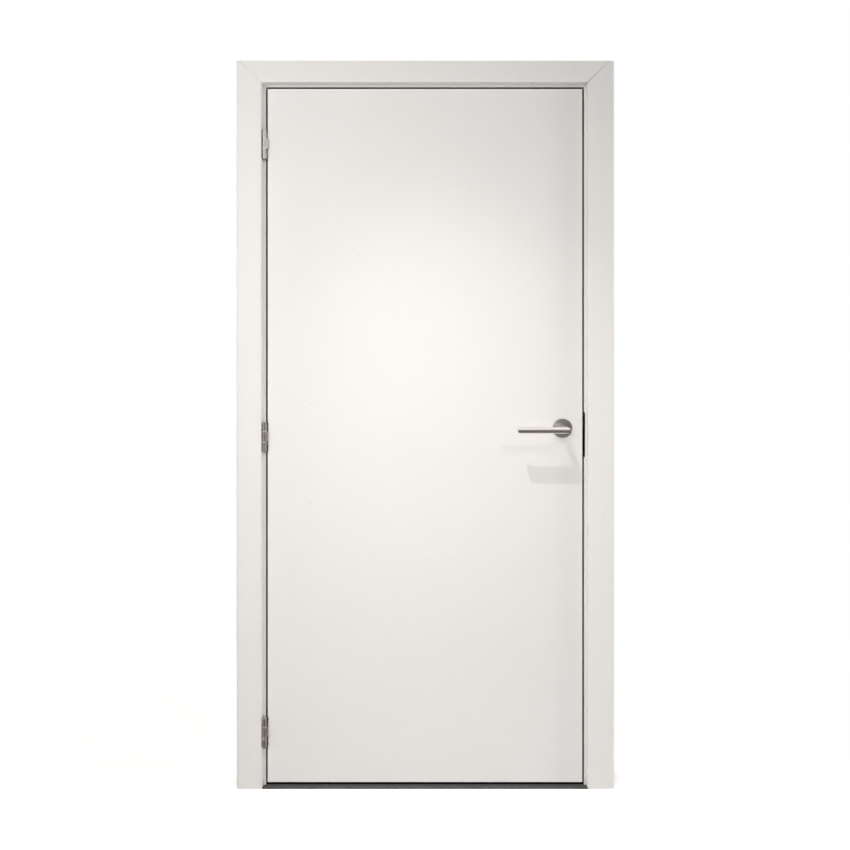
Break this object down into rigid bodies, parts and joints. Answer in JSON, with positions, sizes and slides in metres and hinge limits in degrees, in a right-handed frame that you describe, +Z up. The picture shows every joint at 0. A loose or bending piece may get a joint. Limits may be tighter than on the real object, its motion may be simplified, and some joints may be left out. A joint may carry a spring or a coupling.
{
  "type": "hollow core door",
  "caption": "Flush hollow core door leaf hung on butt hinges in a lined frame with mitred casings, opened by an L-shaped lever on a round rose.",
  "frame": {"origin": "at floor level on the wall-side face of the hinge jamb, midway through the wall", "axes": "+X from the hinge side to the latch side, -Y towards the side the leaf opens to, +Z up"},
  "size_m": [1.103, 0.2155, 2.1205],
  "materials": {
    "casing_paint": "satin paint",
    "lining_paint": "satin paint",
    "leaf_paint": "satin paint",
    "leaf_edge_paint": "satin paint",
    "lock_block_wood": "sawn",
    "core_board": "matt",
    "hinge_steel": "satin",
    "latch_steel": "satin",
    "strike_steel": "dark satin",
    "lever_steel": "brushed"
  },
  "bodies": {
    "frame": {"hinge_jamb": "lining_paint", "latch_jamb": "lining_paint", "head_jamb": "lining_paint", "hinge_side_stop": "lining_paint", "latch_side_stop": "lining_paint", "head_stop": "lining_paint", "front_casing_left": "casing_paint", "front_casing_right": "casing_paint", "front_casing_head": "casing_paint", "back_casing_left": "casing_paint", "back_casing_right": "casing_paint", "back_casing_head": "casing_paint", "strike_plate": "strike_steel", "top_hinge_frame_half": "hinge_steel", "top_hinge_pin": "hinge_steel", "middle_hinge_frame_half": "hinge_steel", "middle_hinge_pin": "hinge_steel", "bottom_hinge_frame_half": "hinge_steel", "bottom_hinge_pin": "hinge_steel", "hinge_washers": "hinge_steel"},
    "door": {"front_skin": "leaf_paint", "back_skin": "leaf_paint", "hinge_stile": "leaf_edge_paint", "latch_stile": "leaf_edge_paint", "top_rail": "leaf_edge_paint", "bottom_rail": "leaf_edge_paint", "lock_block": "lock_block_wood", "honeycomb_core": "core_board", "latch_face_plate": "latch_steel", "latch_case": "latch_steel", "latch_bolt": "latch_steel", "top_hinge_leaf_half": "hinge_steel", "middle_hinge_leaf_half": "hinge_steel", "bottom_hinge_leaf_half": "hinge_steel", "front_rose": "lever_steel", "back_rose": "lever_steel"},
    "handle": {"front_lever": "lever_steel", "back_lever": "lever_steel", "spindle": "latch_steel"}
  },
  "joints": [
    {"name": "door_swing", "type": "hinge", "parent": "frame", "child": "door", "pos_m": [0.02725, -0.07155, 1.0495], "axis": [0, 0, -1], "range_deg": [0, 120]},
    {"name": "handle_turn", "type": "hinge", "parent": "door", "child": "handle", "pos_m": [0.901, -0.065, 1.0495], "axis": [0, -1, 0], "range_deg": [0, 40], "stiffness_Nm_per_rad": 2, "springref_deg": -34.38}
  ]
}
